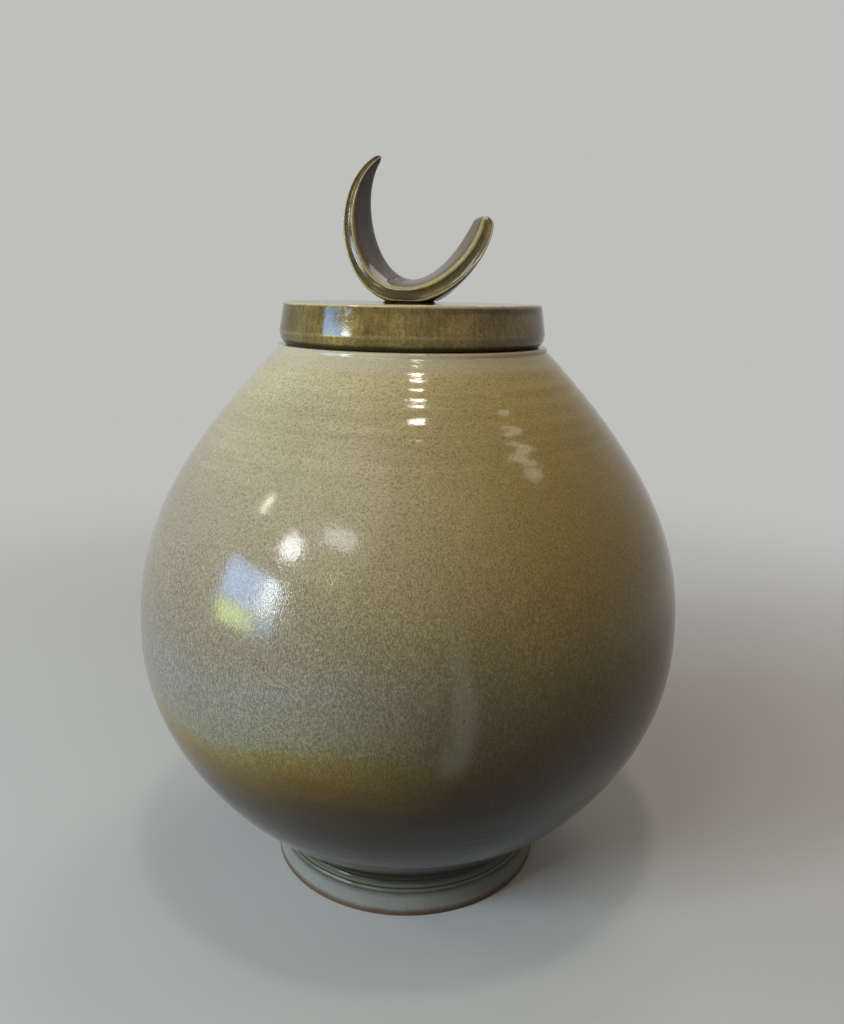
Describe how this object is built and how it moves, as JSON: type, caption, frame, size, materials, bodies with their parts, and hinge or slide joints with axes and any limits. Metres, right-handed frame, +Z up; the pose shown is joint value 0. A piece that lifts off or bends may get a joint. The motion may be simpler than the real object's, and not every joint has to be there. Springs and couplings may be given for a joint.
{
  "type": "lidded moon jar",
  "caption": "Round glazed stoneware moon jar on a turned foot, with a flat lift-off lid that carries a crescent strap finial.",
  "frame": {"origin": "centre of the circle that the foot stands on, on the jar's axis", "axes": "+Z up along the jar's axis, towards the lid; the tall horn of the finial is on the -X side and the view in the picture is along +Y"},
  "size_m": [0.2322, 0.2322, 0.3072],
  "materials": {
    "body_glaze": "glossy",
    "foot_glaze": "glossy",
    "inside_glaze": "glossy",
    "lid_glaze": "glossy",
    "bare_clay": "matt"
  },
  "bodies": {
    "jar": {"foot_ring": "foot_glaze", "lower_bowl": "body_glaze", "seam_coil": "inside_glaze", "upper_bowl": "body_glaze", "mouth_rim": "body_glaze"},
    "lid": {"lid_plate": "lid_glaze", "lid_flange": "bare_clay", "finial_pad": "lid_glaze", "crescent_finial": "lid_glaze"}
  },
  "joints": [
    {"name": "lid_lift", "type": "slide", "parent": "jar", "child": "lid", "axis": [0, 0, 1], "range_m": [0, 0.12]}
  ]
}
